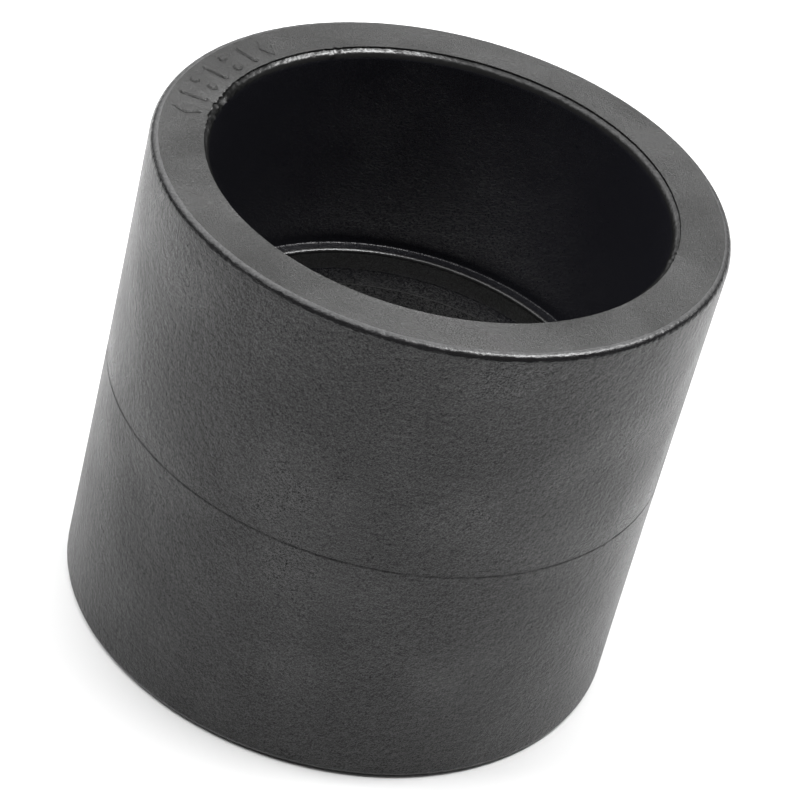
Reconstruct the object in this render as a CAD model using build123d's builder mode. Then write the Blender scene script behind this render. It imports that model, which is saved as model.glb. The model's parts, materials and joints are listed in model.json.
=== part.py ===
from build123d import *
import os

# Straight socket-fusion pipe coupling in black polyethylene, nominal size 40 mm.
# Millimetres. The plain end face lies on Z = 0 and the axis runs up +Z through the origin.

# Driving dimensions of the moulding
socket_diameter = 39.2      # smaller than the 40 mm pipe, which melts its way in
socket_depth = 20.5         # how far each pipe goes in
wall = 5.1                  # from the socket to the outside
stop_length = 4.0           # the ring at mid-length that both pipes stop against
stop_height = 1.25          # how far that ring stands into the bore
mouth_width = 0.6           # lead-in at each mouth: an upright step, then a chamfer
mouth_step = 0.2
mouth_chamfer_height = 0.4
rim_round = 0.7             # outer corner of each end face
stop_round = 0.6            # inner corners of the stop ring
root_round = 0.35           # corner between each socket and the stop ring
parting_line_width = 0.24   # fine line where the two mould halves met, outside
parting_line_depth = 0.07
core_line_width = 0.24      # fine line where the two mould cores met, inside the stop ring
core_line_depth = 0.05

# Driving dimensions of the row of plain raised marks on the upper end face
mark_height = 0.16          # how proud of the face they stand
mark_reach = 2.4            # radial size of the longest mark
bar_width = 0.42
lozenge_width = 1.3
pip_diameter = 0.75
mark_edge_round = 0.08      # softened upper edges
mark_pitch = 6.0            # from one mark to the next, in degrees about the axis
mark_row_angle = 161.5      # middle of the row, in degrees about the axis

# Worked out from the driving dimensions
socket_radius = socket_diameter / 2
outer_radius = socket_radius + wall
stop_radius = socket_radius - stop_height
length = 2 * socket_depth + stop_length
middle = length / 2
face_inner_radius = socket_radius + mouth_width
face_outer_radius = outer_radius - rim_round
mark_radius = (face_inner_radius + face_outer_radius) / 2
mouth_depth = mouth_step + mouth_chamfer_height


def mark_places(steps):
    """Places on the face's middle circle, each turned so that its X runs outwards."""
    angles = [mark_row_angle + step * mark_pitch for step in steps]
    return [Location(Vector(mark_radius, 0).rotate(Axis.Z, a), (0, 0, a)) for a in angles]


# The moulding: half of its section, turned round the axis
with BuildPart() as coupling_body:
    with BuildSketch(Plane.XZ):
        with BuildLine():
            Polyline(
                (outer_radius, 0),
                (outer_radius, length),
                (face_inner_radius, length),
                (face_inner_radius, length - mouth_step),
                (socket_radius, length - mouth_depth),
                (socket_radius, length - socket_depth),
                (stop_radius, length - socket_depth),
                (stop_radius, socket_depth),
                (socket_radius, socket_depth),
                (socket_radius, mouth_depth),
                (face_inner_radius, mouth_step),
                (face_inner_radius, 0),
                close=True,
            )
        make_face()
    revolve(axis=Axis.Z)

    # The stop ring's two sides are the middle pair of levels; the outermost circles are the rims
    circles = coupling_body.edges().filter_by(GeomType.CIRCLE)
    levels = circles.group_by(Axis.Z)
    upper = len(levels) // 2
    stop_circles = (levels[upper - 1] + levels[upper]).group_by(SortBy.RADIUS)
    fillet(circles.group_by(SortBy.RADIUS)[-1], radius=rim_round)
    fillet(stop_circles[0], radius=stop_round)
    fillet(stop_circles[-1], radius=root_round)

    # V-shaped lines at mid-length: where the mould halves met outside, and the cores inside
    with BuildSketch(Plane.XZ):
        with BuildLine():
            Polyline(
                (outer_radius + parting_line_depth, middle - parting_line_width),
                (outer_radius + parting_line_depth, middle + parting_line_width),
                (outer_radius - parting_line_depth, middle),
                close=True,
            )
        make_face()
        with BuildLine():
            Polyline(
                (stop_radius - core_line_depth, middle - core_line_width),
                (stop_radius - core_line_depth, middle + core_line_width),
                (stop_radius + core_line_depth, middle),
                close=True,
            )
        make_face()
    revolve(axis=Axis.Z, mode=Mode.SUBTRACT)

coupling_body.part.label = "coupling_body"

# Raised marks: a lozenge at each end of the row, with bars and pairs of pips between them
with BuildPart() as raised_marks:
    with BuildSketch(Plane.XY.offset(length)):
        with Locations(*mark_places((-3, 3))):
            Polygon(
                (mark_reach / 2, 0),
                (0, lozenge_width / 2),
                (-mark_reach / 2, 0),
                (0, -lozenge_width / 2),
            )
        with Locations(*mark_places((-2, 0, 2))):
            Rectangle(mark_reach, bar_width)
        with Locations(*mark_places((-1, 1))):
            with GridLocations(mark_reach - pip_diameter, 0, 2, 1):
                Circle(pip_diameter / 2)
    extrude(amount=mark_height)
    fillet(raised_marks.edges().group_by(Axis.Z)[-1], radius=mark_edge_round)

raised_marks.part.label = "raised_marks"

os.makedirs("parts", exist_ok=True)
export_step(coupling_body.part, "parts/coupling_body.step")
export_step(raised_marks.part, "parts/raised_marks.step")
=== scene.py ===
import json
import math

import bmesh
import bpy
from mathutils import Matrix, Vector, noise


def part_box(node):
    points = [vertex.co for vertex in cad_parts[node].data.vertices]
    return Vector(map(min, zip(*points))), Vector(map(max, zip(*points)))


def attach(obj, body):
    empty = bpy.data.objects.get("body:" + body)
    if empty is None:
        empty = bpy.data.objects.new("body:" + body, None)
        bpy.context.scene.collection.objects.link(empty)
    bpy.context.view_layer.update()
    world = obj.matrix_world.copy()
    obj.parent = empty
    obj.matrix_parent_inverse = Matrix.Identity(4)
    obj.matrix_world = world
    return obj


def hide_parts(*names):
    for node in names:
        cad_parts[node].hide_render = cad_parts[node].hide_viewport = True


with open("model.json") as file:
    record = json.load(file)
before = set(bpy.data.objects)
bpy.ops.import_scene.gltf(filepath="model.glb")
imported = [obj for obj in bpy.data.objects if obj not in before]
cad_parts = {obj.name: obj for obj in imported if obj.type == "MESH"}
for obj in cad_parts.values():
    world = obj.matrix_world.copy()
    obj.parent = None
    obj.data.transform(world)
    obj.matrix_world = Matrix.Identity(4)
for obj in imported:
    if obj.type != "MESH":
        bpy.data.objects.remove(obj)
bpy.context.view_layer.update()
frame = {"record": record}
MM = 0.001

# ---------------------------------------------------------------- moulded body
# The whole fitting is one injection moulding in black polyethylene: two sockets back to back
# with a stop ring between them. The outside keeps the mould's spark-eroded grain, and a fine
# line at mid-length where the mould halves met, with specks of flash left along it.
body_low, body_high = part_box("coupling_body")
socket = next(m["dims"] for m in frame["record"]["mounts"] if m["name"] == "upper_socket")
LENGTH = body_high.z - body_low.z
MIDDLE = body_low.z + LENGTH / 2
TOP = LENGTH / 2             # height of an end face above mid-length
OUTER_RADIUS = -body_low.y
SOCKET_RADIUS = socket["r_mm"] * MM
SOCKET_DEPTH = 20.5 * MM
STOP_HEIGHT = 1.25 * MM
MOUTH_WIDTH = 0.60 * MM
STOP_RADIUS = SOCKET_RADIUS - STOP_HEIGHT
STOP_HALF = TOP - SOCKET_DEPTH
STOP_ROUND = 0.40 * MM
ROOT_ROUND = 0.18 * MM
FACE_INNER_RADIUS = SOCKET_RADIUS + MOUTH_WIDTH
MOUTH_STEP = 0.20 * MM       # upright step where the core met the end plate
MOUTH_DEPTH = 0.60 * MM      # step and chamfer together
MOUTH_ROUND = 0.42 * MM      # where the chamfer runs into the socket
MOUTH_LIP = 0.04 * MM        # flash raised round the mouth
LIP_ROUND = 0.03 * MM
RIM_ROUND = 0.70 * MM        # outer corner of each end face
LINE_HALF_WIDTH = 0.12 * MM  # of the lines at mid-length, outside and inside the stop ring
LINE_CORNER = 0.03 * MM
PARTING_DEPTH = 0.10 * MM
CORE_LINE_DEPTH = 0.03 * MM
LONGEST_ROW = 2.2 * MM       # longer straight stretches of the section are cut into rows
WELD = 0.0005 * MM
WEDGES = 40                  # the turn is spun as one wedge, which is then repeated
STEPS_PER_WEDGE = 16


def turned(corners, wedges, steps_per_wedge):
    """A full turn of a section, given as (radius, height, rounding, rounding steps) corners."""
    made = bmesh.new()
    verts = [made.verts.new((r, 0, z)) for r, z, _, _ in corners]
    for first, second in zip(verts, verts[1:] + verts[:1]):
        made.edges.new((first, second))
    for vert, (_, _, rounding, steps) in zip(verts, corners):
        if rounding:
            bmesh.ops.bevel(
                made, geom=[vert], offset=rounding, offset_type="OFFSET", affect="VERTICES",
                segments=steps, profile=0.5, material=-1,
            )
    for edge in list(made.edges):
        cuts = math.ceil(edge.calc_length() / LONGEST_ROW) - 1
        if cuts > 0:
            bmesh.ops.subdivide_edges(made, edges=[edge], cuts=cuts)
    wedge = math.tau / wedges
    bmesh.ops.spin(
        made, geom=made.verts[:] + made.edges[:], cent=(0, 0, 0), axis=(0, 0, 1),
        angle=wedge, steps=steps_per_wedge,
    )
    bmesh.ops.spin(
        made, geom=made.verts[:] + made.edges[:] + made.faces[:], cent=(0, 0, 0), axis=(0, 0, 1),
        angle=math.tau - wedge, steps=wedges - 1, use_duplicate=True,
    )
    bmesh.ops.remove_doubles(made, verts=made.verts, dist=WELD)
    bmesh.ops.recalc_face_normals(made, faces=made.faces)
    return made


def upper_and_lower(corners):
    """Corners given from mid-length up, followed by their mirror images below it."""
    mirrored = [(r, -z, rounding, steps) for r, z, rounding, steps in reversed(corners) if z > 0]
    return corners + mirrored


def fine_noise(place, size, seed):
    """Smooth noise from -1 to 1, with features of the given size."""
    return noise.noise(place / size + Vector((seed, 1.7 * seed, -seed)))


def finished(made, name, materials):
    """The bmesh as a smooth-shaded object that stands at the origin and rides on the one body."""
    mesh = bpy.data.meshes.new(name)
    made.to_mesh(mesh)
    made.free()
    mesh.shade_smooth()
    for material in materials:
        mesh.materials.append(material)
    piece = bpy.data.objects.new(name, mesh)
    bpy.context.scene.collection.objects.link(piece)
    weighted = piece.modifiers.new("face_weighted_normals", "WEIGHTED_NORMAL")
    weighted.weight = 100
    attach(piece, "root")
    return piece


body = turned(upper_and_lower([
    (OUTER_RADIUS - PARTING_DEPTH, 0, 0, 0),
    (OUTER_RADIUS, LINE_HALF_WIDTH, LINE_CORNER, 2),
    (OUTER_RADIUS, TOP, RIM_ROUND, 8),
    (FACE_INNER_RADIUS + 4 * MOUTH_LIP, TOP - MOUTH_LIP, LIP_ROUND, 2),
    (FACE_INNER_RADIUS, TOP, LIP_ROUND, 2),
    (FACE_INNER_RADIUS, TOP - MOUTH_STEP, LIP_ROUND, 2),
    (SOCKET_RADIUS, TOP - MOUTH_DEPTH, MOUTH_ROUND, 6),
    (SOCKET_RADIUS, STOP_HALF, ROOT_ROUND, 5),
    (STOP_RADIUS, STOP_HALF, STOP_ROUND, 7),
    (STOP_RADIUS, LINE_HALF_WIDTH, LINE_CORNER, 2),
    (STOP_RADIUS + CORE_LINE_DEPTH, 0, 0, 0),
]), WEDGES, STEPS_PER_WEDGE)

WAIST = 0.08 * MM            # sink of the thick wall at mid-length as it cooled
UNEVENNESS = 0.02 * MM       # slow waviness of the outside
LINE_WANDER = 0.04 * MM      # how much the outer line's depth varies along it
RIM_NIBBLE = 0.042 * MM      # how deep the outer rim is nicked
MOUTH_NIBBLE = 0.03 * MM     # how far the trimmed flash wanders round each mouth
MOUTH_TEAR = 0.30 * MM       # and where it was torn off roughly
# Middle and half width in degrees of the torn stretches of the upper mouth, and how bad each is
TEARS = [(172, 24, 1.0), (127, 3, 0.5), (352, 6, 0.7)]
# Where the outer line is worn shallower, as its middle, half width and loss of depth
WORN_ANGLE, WORN_HALF_WIDTH, WEAR = math.radians(291), math.radians(20), 0.06 * MM
# Where crumbs of flash stand on the outer line, as their middle, half width and height
FLASH_ANGLE, FLASH_HALF_WIDTH, FLASH_HEIGHT = math.radians(307), math.radians(8), 0.13 * MM


def outward(vert, distance):
    """Moves a vertex away from the axis."""
    vert.co += Vector((vert.co.x, vert.co.y, 0)).normalized() * distance


def bump_round(angle, middle, half_width):
    """1 at the middle angle, falling smoothly to 0 at the half width to either side."""
    away = abs(math.remainder(angle - middle, math.tau)) / half_width
    return 0.5 + 0.5 * math.cos(math.pi * away) if away < 1 else 0


for vert in body.verts:
    radius, angle = math.hypot(vert.co.x, vert.co.y), math.atan2(vert.co.y, vert.co.x)
    height = abs(vert.co.z)
    if radius > OUTER_RADIUS - 2 * PARTING_DEPTH:
        outward(vert, -WAIST * (1 - (height / TOP) ** 2))
        outward(vert, -UNEVENNESS * (0.5 + 0.5 * fine_noise(vert.co, 7 * MM, 3.0)))
        if height < LINE_HALF_WIDTH / 2:
            outward(vert, LINE_WANDER * fine_noise(vert.co, 2.5 * MM, 11.0))
            outward(vert, WEAR * bump_round(angle, WORN_ANGLE, WORN_HALF_WIDTH))
            # Flash breaks off in crumbs, so there are gaps where the noise is low
            crumbs = max(0, 0.35 + fine_noise(vert.co, 0.9 * MM, 5.0))
            flash = FLASH_HEIGHT * bump_round(angle, FLASH_ANGLE, FLASH_HALF_WIDTH)
            outward(vert, flash * crumbs)
    at_mouth = SOCKET_RADIUS + WELD < radius < FACE_INNER_RADIUS + 5 * MOUTH_LIP
    if height > TOP - RIM_ROUND - WELD:
        nibble = fine_noise(vert.co, 0.5 * MM, 7.0)
        if radius > OUTER_RADIUS - RIM_ROUND:
            outward(vert, min(0, RIM_NIBBLE * nibble))
        elif at_mouth:
            outward(vert, MOUTH_NIBBLE * nibble)
        if at_mouth and vert.co.z > 0:
            torn = MOUTH_TEAR * max(
                share * bump_round(angle, math.radians(middle), math.radians(half_width))
                for middle, half_width, share in TEARS
            )
            # What is left of the flash leans into the bore, and is bent up or down as well
            outward(vert, torn * (fine_noise(vert.co, 0.35 * MM, 2.0) - 0.15))
            vert.co.z += 0.3 * torn * fine_noise(vert.co, 0.4 * MM, 9.0)
bmesh.ops.translate(body, verts=body.verts, vec=(0, 0, MIDDLE))

# Which finish each part of the skin has, told by its radius and height
OUTSIDE, FACE, SOCKET, EDGE, RIM = range(5)
NEAR = 0.02 * MM
for polygon in body.faces:
    centre = polygon.calc_center_median() - Vector((0, 0, MIDDLE))
    radius, height = math.hypot(centre.x, centre.y), abs(centre.z)
    # The stop ring's bore takes the end face's darker finish above mid-length and the socket's
    # lighter one below it, which paints light onto the lower half as if it came up from below; their
    # roughness differs as well
    if radius < STOP_RADIUS + NEAR:
        polygon.material_index = FACE if centre.z > 0 else SOCKET
    elif radius < SOCKET_RADIUS + MOUTH_LIP:
        polygon.material_index = EDGE if radius < STOP_RADIUS + STOP_ROUND else SOCKET
    elif radius < FACE_INNER_RADIUS + WELD:
        polygon.material_index = EDGE
    elif height < TOP - 0.75 * RIM_ROUND:
        polygon.material_index = OUTSIDE
    else:
        polygon.material_index = RIM if radius > OUTER_RADIUS - RIM_ROUND else FACE


def new_group(name, inputs, outputs):
    """An empty shader node group with float inputs (name, value) and outputs (name, socket type)."""
    group = bpy.data.node_groups.new(name, "ShaderNodeTree")
    for label, value in inputs:
        made = group.interface.new_socket(label, in_out="INPUT", socket_type="NodeSocketFloat")
        made.default_value = value
    for label, kind in outputs:
        group.interface.new_socket(label, in_out="OUTPUT", socket_type=kind)
    return group


def add(tree, kind, **settings):
    """A new node; settings are its properties, and socket values where a name isn't a property."""
    node = tree.nodes.new("ShaderNode" + kind)
    for label, value in settings.items():
        if hasattr(node, label):
            setattr(node, label, value)
        else:
            node.inputs[label.replace("_", " ").title()].default_value = value
    return node


def worked_out(tree, operation, *terms):
    """One Math operation carried along a row of sockets and numbers; gives the last output."""
    result = terms[0]
    for term in terms[1:]:
        node = add(tree, "Math", operation=operation)
        for port, value in zip(node.inputs, (result, term)):
            if isinstance(value, (int, float)):
                port.default_value = value
            else:
                tree.links.new(value, port)
        result = node.outputs[0]
    return result


# Grain: the height in metres that the mould's texture leaves, in patches that are worn smoother,
# and how open to the light each spot is, from 0 in its pits to 1 on its tops, which is used to paint
# shade into the pits
grain = new_group(
    "mould_grain",
    [("Grain size mm", 0.2), ("Grain height mm", 0.1), ("Lump height mm", 0.1)],
    [("Height", "NodeSocketFloat"), ("Patches", "NodeSocketFloat"), ("Painted pit shade openness", "NodeSocketFloat")],
)
place = add(grain, "TexCoord").outputs["Object"]
given = grain.nodes.new("NodeGroupInput").outputs
out = grain.nodes.new("NodeGroupOutput").inputs
grains_per_metre = worked_out(grain, "DIVIDE", 1 / MM, given["Grain size mm"])
fine = add(grain, "TexNoise", detail=3.0, roughness=0.7)
grain.links.new(place, fine.inputs["Vector"])
grain.links.new(grains_per_metre, fine.inputs["Scale"])
lumps = add(grain, "TexNoise", scale=1 / (0.5 * MM), detail=1.0, roughness=0.5)
grain.links.new(place, lumps.inputs["Vector"])
patches = add(grain, "TexNoise", scale=1 / (9 * MM), detail=2.0, roughness=0.5)
grain.links.new(place, patches.inputs["Vector"])


def ranged(tree, value, *limits):
    """Maps a value from the first two limits to the last two, held between them."""
    mapped = add(tree, "MapRange")
    tree.links.new(value, mapped.inputs["Value"])
    for port, limit in zip(("From Min", "From Max", "To Min", "To Max"), limits):
        mapped.inputs[port].default_value = limit
    return mapped.outputs[0]


WORN_SHARE = 0.55            # of the grain's height, left in the most worn patches
strength = ranged(grain, patches.outputs["Fac"], 0.38, 0.62, WORN_SHARE, 1.0)
fine_part = worked_out(grain, "MULTIPLY", fine.outputs["Fac"], given["Grain height mm"], strength, MM)
lump_part = worked_out(grain, "MULTIPLY", lumps.outputs["Fac"], given["Lump height mm"], strength, MM)
grain.links.new(worked_out(grain, "ADD", fine_part, lump_part), out["Height"])
grain.links.new(patches.outputs["Fac"], out["Patches"])
# Painted shade: openness is 0 in the pits of the fine grain, where shade is painted in
grain.links.new(ranged(grain, fine.outputs["Fac"], 0.30, 0.70, 0.0, 1.0), out["Painted pit shade openness"])


def polyethylene(name, colour, gloss, shine_and_painted_pit_shade, grain_values):
    """Black polyethylene: its grain as bump, roughness that varies in patches, and painted shade in
    its pits, where the specular level is lowered.
    """
    material = bpy.data.materials.new(name)
    material.use_nodes = True
    tree = material.node_tree
    shader = tree.nodes["Principled BSDF"]
    shader.inputs["Base Color"].default_value = (*colour, 1)
    shader.inputs["IOR"].default_value = 1.47
    skin = tree.nodes.new("ShaderNodeGroup")
    skin.node_tree = grain
    for port, value in zip(skin.inputs, grain_values):
        port.default_value = value
    bump = add(tree, "Bump", strength=1.0, distance=1.0)
    tree.links.new(skin.outputs["Height"], bump.inputs["Height"])
    tree.links.new(bump.outputs["Normal"], shader.inputs["Normal"])
    roughness = ranged(tree, skin.outputs["Patches"], 0.35, 0.65, *gloss)
    tree.links.new(roughness, shader.inputs["Roughness"])
    # Painted shade: the specular level falls in the grain's pits to darken them as shade would; its
    # overall level is the finish's own shine
    specular = ranged(tree, skin.outputs["Painted pit shade openness"], 0.0, 1.0, *shine_and_painted_pit_shade)
    tree.links.new(specular, shader.inputs["Specular IOR Level"])
    return material


# Each finish: colour, roughness range, specular level in pits and on tops (its own shine, with
# painted shade in the pits), and the grain's size, its height and the height of its lumps in
# millimetres
outside_skin = polyethylene(
    "outside_grain", (0.007, 0.007, 0.0075), (0.27, 0.33), (0.05, 0.95), (0.15, 0.19, 0.22))
face_skin = polyethylene(
    "end_face", (0.009, 0.009, 0.0085), (0.27, 0.33), (0.25, 1.05), (0.15, 0.16, 0.08))
socket_skin = polyethylene(
    "socket_wall", (0.011, 0.011, 0.014), (0.20, 0.27), (0.00, 1.10), (0.20, 0.06, 0.03))
edge_skin = polyethylene(
    "polished_edge", (0.009, 0.009, 0.009), (0.17, 0.24), (0.50, 0.90), (0.25, 0.02, 0.03))
rim_skin = polyethylene(
    "worn_rim", (0.007, 0.007, 0.0075), (0.20, 0.26), (0.40, 0.95), (0.22, 0.05, 0.08))
moulded_body = finished(
    body, "moulded_body", [outside_skin, face_skin, socket_skin, edge_skin, rim_skin])
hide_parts("coupling_body")

# ---------------------------------------------------------------- raised marks
# A row of small plain shapes on the upper end face, moulded in one with it: each is a shallow
# recess in the mould's end plate, so it stands proud with soft edges and a flared foot.
marks_low, marks_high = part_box("raised_marks")
FACE_HEIGHT = marks_low.z
MARK_HEIGHT = 0.75 * (marks_high.z - marks_low.z)  # the mould's recesses don't fill to the corners
MARK_RADIUS = (FACE_INNER_RADIUS + OUTER_RADIUS - RIM_ROUND) / 2
MARK_REACH = 2.4 * MM
BAR_WIDTH = 0.42 * MM
LOZENGE_WIDTH = 1.3 * MM
PIP_DIAMETER = 0.75 * MM
BAR_ROUND = 0.26 * MM        # ends of the bars, flare included
ROW_ANGLE, PITCH = math.radians(161.5), math.radians(6.0)
FOOT_DEPTH = 0.06 * MM       # hidden below the face
FLARE = 0.07 * MM            # how far the foot spreads beyond the mark's own size
# Each step up the side of a mark: how far in, and how far up as a share of the mark's height
SIDE_STEPS = [
    (0.05 * MM, 0.14), (0.04 * MM, 0.26), (0.03 * MM, 0.30), (0.03 * MM, 0.20), (0.04 * MM, 0.10),
]

marks = bmesh.new()


def stand_up(outline):
    """Raises a flat outline on the face into a mark with a flared foot and a rounded top."""
    face = marks.faces.new(outline)
    risen = bmesh.ops.extrude_face_region(marks, geom=[face])["geom"]
    top = next(item for item in risen if isinstance(item, bmesh.types.BMFace))
    bmesh.ops.translate(marks, verts=top.verts, vec=(0, 0, FOOT_DEPTH))
    for step_in, step_up in SIDE_STEPS:
        bmesh.ops.inset_region(marks, faces=[top], thickness=step_in, use_even_offset=True)
        bmesh.ops.translate(marks, verts=top.verts, vec=(0, 0, step_up * MARK_HEIGHT))


def mark(place, size, offset, corners, rounding):
    """One mark: an outline of that many corners and size, offset outwards on its ray."""
    turn = math.pi / 4 if rounding else 0    # a bar's box lies square, a lozenge on its points
    outline = bmesh.ops.create_circle(
        marks, segments=corners, radius=1, matrix=Matrix.Rotation(turn, 4, "Z"),
    )["verts"]
    spans = [(across / 2 + FLARE) / math.cos(turn) for across in size]
    bmesh.ops.scale(marks, verts=outline, vec=(*spans, 1))
    if rounding:
        outline = bmesh.ops.bevel(
            marks, geom=outline, offset=rounding, offset_type="OFFSET", affect="VERTICES",
            segments=4, profile=0.5, material=-1,
        )["verts"]
    ring = list({vert for corner in outline for edge in corner.link_edges for vert in edge.verts})
    on_face = Matrix.Translation((MARK_RADIUS + offset, 0, FACE_HEIGHT - FOOT_DEPTH))
    along_row = Matrix.Rotation(ROW_ANGLE + place * PITCH, 4, "Z")
    bmesh.ops.transform(marks, verts=ring, matrix=along_row @ on_face)
    centre = sum((vert.co for vert in ring), Vector()) / len(ring)
    ring.sort(key=lambda vert: math.atan2(vert.co.y - centre.y, vert.co.x - centre.x))
    stand_up(ring)


for place in (-3, 3):
    mark(place, (MARK_REACH, LOZENGE_WIDTH), 0, 4, 0)
for place in (-2, 0, 2):
    mark(place, (MARK_REACH, BAR_WIDTH), 0, 4, BAR_ROUND)
for place in (-1, 1):
    for side in (-1, 1):
        mark(place, (PIP_DIAMETER, PIP_DIAMETER), side * (MARK_REACH - PIP_DIAMETER) / 2, 24, 0)
bmesh.ops.recalc_face_normals(marks, faces=marks.faces)
moulded_marks = finished(marks, "moulded_marks", [face_skin])
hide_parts("raised_marks")

# ---------------------------------------------------------------- floor, lights and camera
# A plain white floor. The room is dark, with one large soft white surround high behind the
# fitting, a long softbox high on the right that draws the lines of light along the edges, and a
# square one, not seen in reflections, that evens out the floor.
floor_mesh = bmesh.new()
bmesh.ops.create_grid(floor_mesh, x_segments=1, y_segments=1, size=2.0)
bmesh.ops.translate(floor_mesh, verts=floor_mesh.verts, vec=(0, 0, body_low.z))
floor_data = bpy.data.meshes.new("floor")
floor_mesh.to_mesh(floor_data)
floor_mesh.free()
floor = bpy.data.objects.new("floor", floor_data)
bpy.context.scene.collection.objects.link(floor)
floor_paint = bpy.data.materials.new("floor_paint")
floor_paint.use_nodes = True
floor_shader = floor_paint.node_tree.nodes["Principled BSDF"]
floor_shader.inputs["Base Color"].default_value = (0.78, 0.78, 0.78, 1)
floor_shader.inputs["Roughness"].default_value = 0.9
floor_shader.inputs["Specular IOR Level"].default_value = 0.1
floor_data.materials.append(floor_paint)

world = bpy.data.worlds.new("studio")
bpy.context.scene.world = world
world.use_nodes = True
room = world.node_tree
SURROUND = 3.20              # radiance of the white surround
ROOM = 0.10                  # radiance of the dark room round it
SURROUND_MIDDLE = (-0.10, 0.45, 0.89)
SURROUND_START, SURROUND_FULL = 0.48, 0.98  # cosines of the angle from its middle
facing_surround = add(room, "VectorMath", operation="DOT_PRODUCT")
room.links.new(add(room, "TexCoord").outputs["Generated"], facing_surround.inputs[0])
facing_surround.inputs[1].default_value = SURROUND_MIDDLE
fade = add(room, "MapRange", interpolation_type="SMOOTHSTEP")
fade.inputs["From Min"].default_value = SURROUND_START
fade.inputs["From Max"].default_value = SURROUND_FULL
fade.inputs["To Min"].default_value = ROOM
fade.inputs["To Max"].default_value = SURROUND
room.links.new(facing_surround.outputs["Value"], fade.inputs["Value"])
room.links.new(fade.outputs[0], room.nodes["Background"].inputs["Strength"])
room.nodes["Background"].inputs["Color"].default_value = (1, 1, 1, 1)


def softbox(name, azimuth, elevation, lean, distance, size, radiance):
    """An area light that looks at the middle of the fitting, its long side leaning to an azimuth."""
    lamp_data = bpy.data.lights.new(name, "AREA")
    lamp_data.shape = "RECTANGLE"
    lamp_data.size, lamp_data.size_y = size
    lamp_data.energy = radiance * math.pi * size[0] * size[1]
    lamp = bpy.data.objects.new(name, lamp_data)
    bpy.context.scene.collection.objects.link(lamp)
    a, e = math.radians(azimuth), math.radians(elevation)
    away = Vector((math.cos(a) * math.cos(e), math.sin(a) * math.cos(e), math.sin(e)))
    side = away.cross(Matrix.Rotation(math.radians(lean), 3, "Z") @ Vector((1, 0, 0))).normalized()
    turn = Matrix((side.cross(away), side, away)).transposed().to_4x4()
    lamp.matrix_world = Matrix.Translation(Vector((0, 0, MIDDLE)) + away * distance) @ turn
    lamp.visible_camera = False
    return lamp


softbox("key_softbox", 13, 64, 44, distance=0.45, size=(0.30, 0.10), radiance=16)
fill = softbox("floor_fill", 190, 50, 280, distance=0.6, size=(0.3, 0.3), radiance=8)
fill.visible_glossy = False
bpy.context.scene.view_settings.view_transform = "Standard"

CAMERA_DISTANCE = 286.6 * MM
CAMERA_ELEVATION = math.radians(35.27)
CAMERA_ROLL = math.radians(14.92)
CAMERA_AIM = Vector((1.18 * MM, 0, MIDDLE - 0.51 * MM))
CAMERA_LENS, SENSOR_WIDTH = 148.7, 36  # millimetres

stand = Vector((0, -math.cos(CAMERA_ELEVATION), math.sin(CAMERA_ELEVATION)))
camera_place = Vector((0, 0, MIDDLE)) + stand * CAMERA_DISTANCE
camera_data = bpy.data.cameras.new("camera")
camera_data.lens = CAMERA_LENS
camera_data.sensor_width = SENSOR_WIDTH
camera = bpy.data.objects.new("camera", camera_data)
bpy.context.scene.collection.objects.link(camera)
facing = (CAMERA_AIM - camera_place).to_track_quat("-Z", "Y").to_matrix().to_4x4()
camera.matrix_world = Matrix.Translation(camera_place) @ facing @ Matrix.Rotation(CAMERA_ROLL, 4, "Z")
bpy.context.scene.camera = camera
